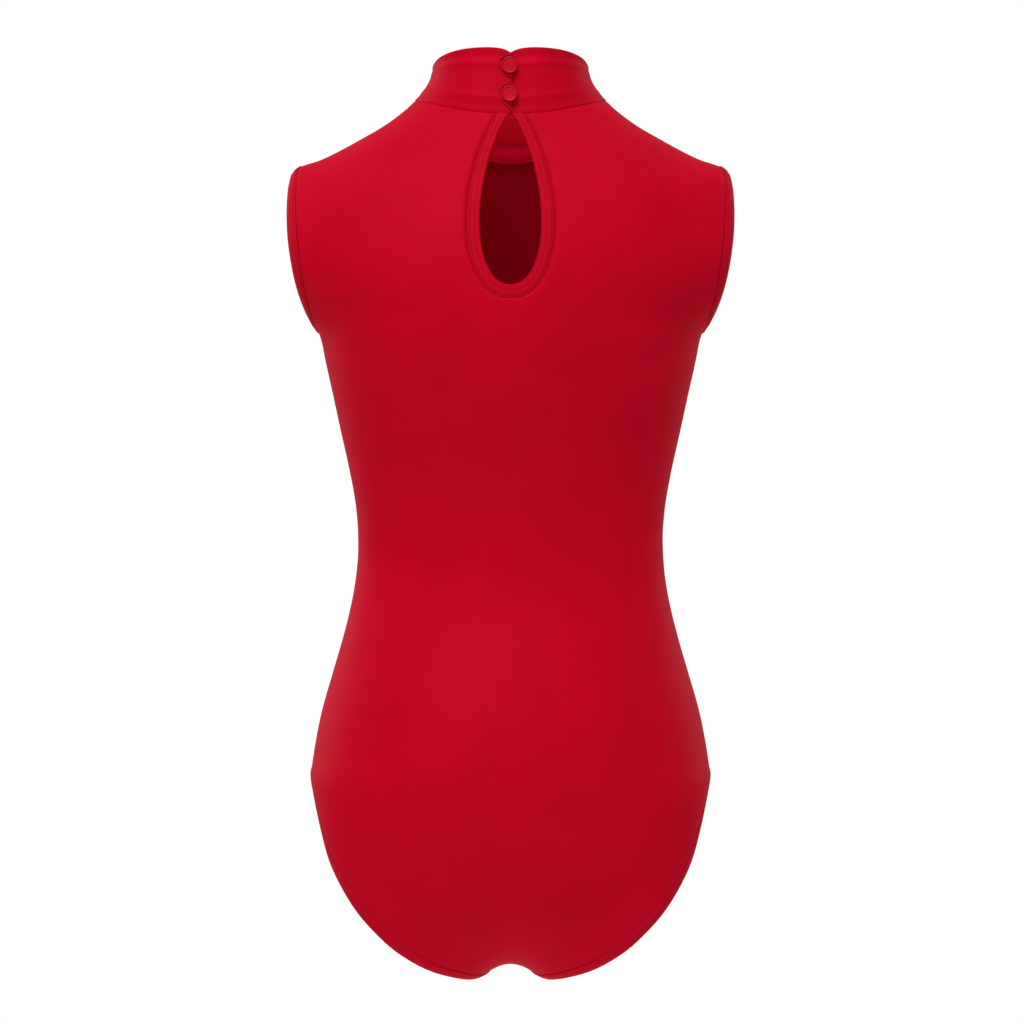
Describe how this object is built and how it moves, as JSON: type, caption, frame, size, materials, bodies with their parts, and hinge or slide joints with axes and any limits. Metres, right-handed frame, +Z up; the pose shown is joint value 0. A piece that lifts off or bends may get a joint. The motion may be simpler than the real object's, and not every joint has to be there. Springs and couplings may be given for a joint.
{
  "type": "leotard",
  "caption": "Sleeveless high-neck leotard in red stretch knit with a keyhole back and a buttoned collar, filled out as if worn.",
  "frame": {"origin": "midway between the two points where the shoulder seams meet the collar, where the wearer's shoulders hold the garment up", "axes": "+Z up, -Y the garment's front, +Y its back, +X the wearer's left"},
  "size_m": [0.3384, 0.2216, 0.7004],
  "materials": {
    "knit": "fine stretch knit, soft sheen",
    "binding": "folded stretch knit strip",
    "hem": "turned stretch knit over elastic",
    "button": "self-coloured, satin",
    "cord": "thin stitched cord"
  },
  "bodies": {
    "root": {"front_panel": "knit", "back_panel": "knit", "collar": "knit", "armhole_binding_left": "binding", "armhole_binding_right": "binding", "keyhole_binding": "binding", "leg_hem_left": "hem", "leg_hem_right": "hem", "button_upper": "button", "button_lower": "button", "button_loop_upper": "cord", "button_loop_lower": "cord"}
  },
  "joints": []
}
